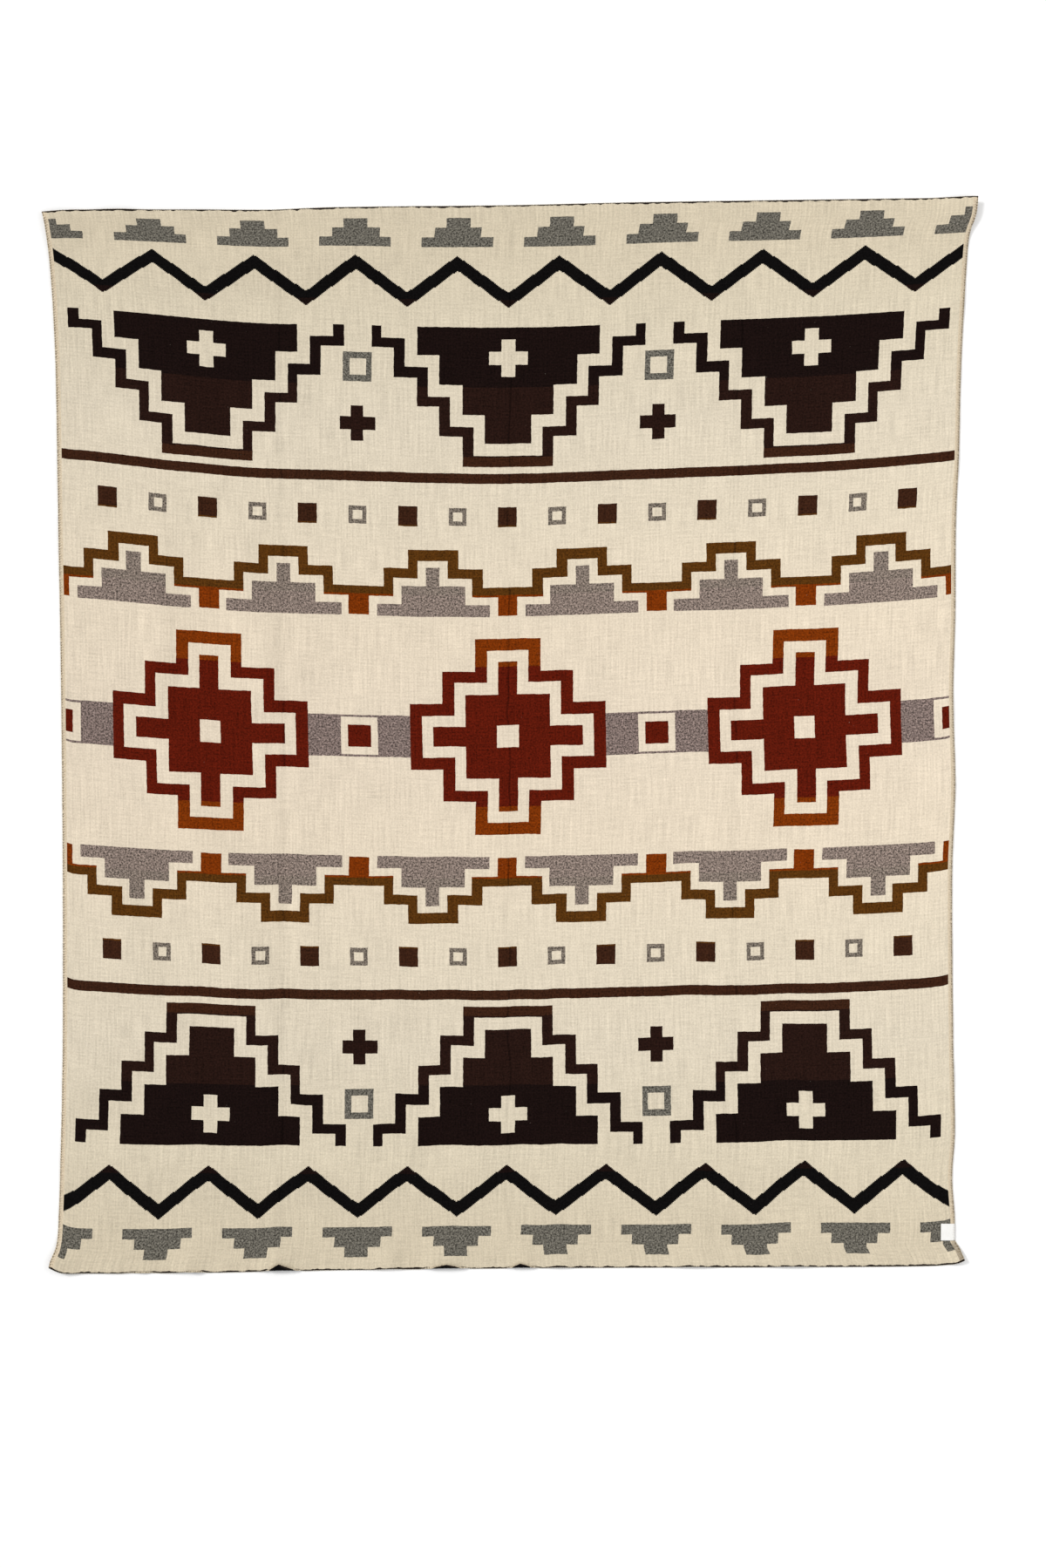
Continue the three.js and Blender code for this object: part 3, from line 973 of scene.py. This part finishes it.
def ribbon_side(grown):
    """One side of the folded ribbon, `grown` out from the middle of its thickness, its open end at x = 0."""
    length, width, layer = LABEL["length"], LABEL["width"], LABEL["layer"]
    radius = (2 * layer + LABEL["gap"]) / 2

    # Seen along the bend: the upper layer, the bend, and the lower layer back to the open end
    bend = radius - layer / 2 + grown
    run = np.linspace(0, length - radius, 15)
    turn = np.linspace(math.pi / 2, 3 * math.pi / 2, 13)[1:-1]
    x = np.concatenate([-run, bend * np.cos(turn) - run[-1], -run[::-1]])
    z = np.concatenate([bend + run * 0, bend * np.sin(turn), -bend + run * 0])

    x, y = np.meshgrid(x, np.linspace(-width / 2, width / 2, 23))
    z = z + x * 0
    to_bend = np.clip(-x / length, 0, 1)
    upper = np.clip(z / radius, 0, 1)
    swell = LABEL_SWELL * upper * np.sin(np.pi * to_bend) * (1 + 0.6 * wander(x, y, 9, 11, 2.2))
    curl = LABEL_CURL * to_bend**3 * (1 - 0.5 * (y / width + 0.5))
    return np.stack([x, y, z + swell + curl + radius], axis=-1)


def label_place():
    """How the label is turned, and where its open end lies."""
    lean = -math.radians(LABEL["lean"])
    turned = np.array([[math.cos(lean), -math.sin(lean), 0], [math.sin(lean), math.cos(lean), 0], [0, 0, 1]])
    x, y = plan(np.array(WIDTH / 2), np.array(LABEL["along"]))
    low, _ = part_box("label")
    base = np.array([x + LABEL["overhang"], y, low.z / MM])
    return turned, base + [placed[0], placed[1], 0]


def make_label():
    """A ribbon folded in two, its bend towards the middle of the throw, sewn down at its open end."""
    layer = LABEL["layer"]
    outer, inner = ribbon_side(layer / 2), ribbon_side(-layer / 2)
    points = np.concatenate([outer.reshape(-1, 3), inner.reshape(-1, 3)])
    rows, columns = outer.shape[:2]
    grid = np.arange(rows * columns).reshape(rows, columns)
    inside = grid_faces(grid) + grid.size
    rim = round_faces(border(grid), border(grid) + grid.size)
    faces = np.concatenate([turned_over(grid_faces(grid)), inside, rim])
    turned, base = label_place()
    piece = add_piece("label_ribbon", points @ turned.T + base, faces, [satin_material()])
    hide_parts("label")

    # The edge's overcast stitches go on across the label's open end
    half = LABEL["width"] / 2
    path = [(-3.6, 0, 1.1), (-1.9, -0.6, 1.35), (-0.2, -1.1, 1.2), (0.7, -1.4, 0.5), (0.6, -1.6, -0.8)]
    stitch_places = np.arange(-half + 2, half, LABEL_STITCH["pitch"])
    paths = np.array([[(x, at + y, z) for x, y, z in path] for at in stitch_places])
    points, faces = tubes(paths @ turned.T + base, LABEL_STITCH["radius"], THREAD_SIDES)
    thread = thread_material("label_thread", seen(206, 200, 188), seen(240, 236, 226))
    stitches = add_piece("label_stitches", points, faces, [thread])
    return piece, [stitches]


# The studio

FLOOR_HALF = 60  # metres
FLOOR_WHITE = 0.97
SKY_STRENGTH = 0.67
KEY_STRENGTH, KEY_SPREAD = 1.75, 16
KEY_TILT = (-24, -46)  # degrees about x and about y
FILL_POWER, FILL_SIZE = 20, 2.2
FILL_PLACE, FILL_TILT = (2.2, 0.1, 2.6), 38


def make_studio():
    floor_mesh = bpy.data.meshes.new("floor")
    signs = ((-1, -1), (1, -1), (1, 1), (-1, 1))
    corners = [(x * FLOOR_HALF, y * FLOOR_HALF, 0) for x, y in signs]
    floor_mesh.from_pydata(corners, [], [(0, 1, 2, 3)])
    floor = bpy.data.objects.new("floor", floor_mesh)
    bpy.context.scene.collection.objects.link(floor)
    paint, _, shader = new_material("floor_white", roughness=0.9, sheen=0, specular=0.0)
    shader.inputs["Base Color"].default_value = (FLOOR_WHITE, FLOOR_WHITE, FLOOR_WHITE, 1)
    floor_mesh.materials.append(paint)

    world = bpy.data.worlds.new("studio")
    world.use_nodes = True
    background = world.node_tree.nodes["Background"]
    background.inputs["Color"].default_value = (1, 1, 1, 1)
    background.inputs["Strength"].default_value = SKY_STRENGTH
    bpy.context.scene.world = world

    key = bpy.data.lights.new("key", "SUN")
    key.energy = KEY_STRENGTH
    key.angle = math.radians(KEY_SPREAD)
    key_lamp = bpy.data.objects.new("key", key)
    key_lamp.rotation_euler = (math.radians(KEY_TILT[0]), math.radians(KEY_TILT[1]), 0)
    bpy.context.scene.collection.objects.link(key_lamp)

    # A large soft lamp at the right, so that side is a little brighter
    fill = bpy.data.lights.new("fill", "AREA")
    fill.energy = FILL_POWER
    fill.size = FILL_SIZE
    fill_lamp = bpy.data.objects.new("fill", fill)
    fill_lamp.location = FILL_PLACE
    fill_lamp.rotation_euler = (0, math.radians(FILL_TILT), 0)
    bpy.context.scene.collection.objects.link(fill_lamp)
    bpy.context.scene.view_settings.view_transform = "Standard"


def make_camera():
    data = bpy.data.cameras.new("camera")
    data.sensor_width = SENSOR
    data.lens = SENSOR * CAMERA_HEIGHT / (FRAME_HEIGHT * MM_PER_PIXEL * MM)
    camera = bpy.data.objects.new("camera", data)
    camera.location = (FRAME_CENTRE[0] * MM, FRAME_CENTRE[1] * MM, CAMERA_HEIGHT)
    bpy.context.scene.collection.objects.link(camera)
    bpy.context.scene.camera = camera


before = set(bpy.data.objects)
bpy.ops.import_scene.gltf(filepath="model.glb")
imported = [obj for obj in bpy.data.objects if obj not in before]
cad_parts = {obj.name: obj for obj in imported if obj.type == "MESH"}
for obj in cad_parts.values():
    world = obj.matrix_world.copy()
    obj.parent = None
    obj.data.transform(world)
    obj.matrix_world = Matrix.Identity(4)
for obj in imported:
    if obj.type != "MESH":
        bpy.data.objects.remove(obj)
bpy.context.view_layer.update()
node_low, node_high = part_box("throw")
node_middle = np.array([(node_low.x + node_high.x) / 2, (node_low.y + node_high.y) / 2, 0]) / MM
placed = node_middle - outline_centre()

make_camera()
make_studio()
cloth = make_cloth()
stitches = make_stitches()
label, label_stitches = make_label()
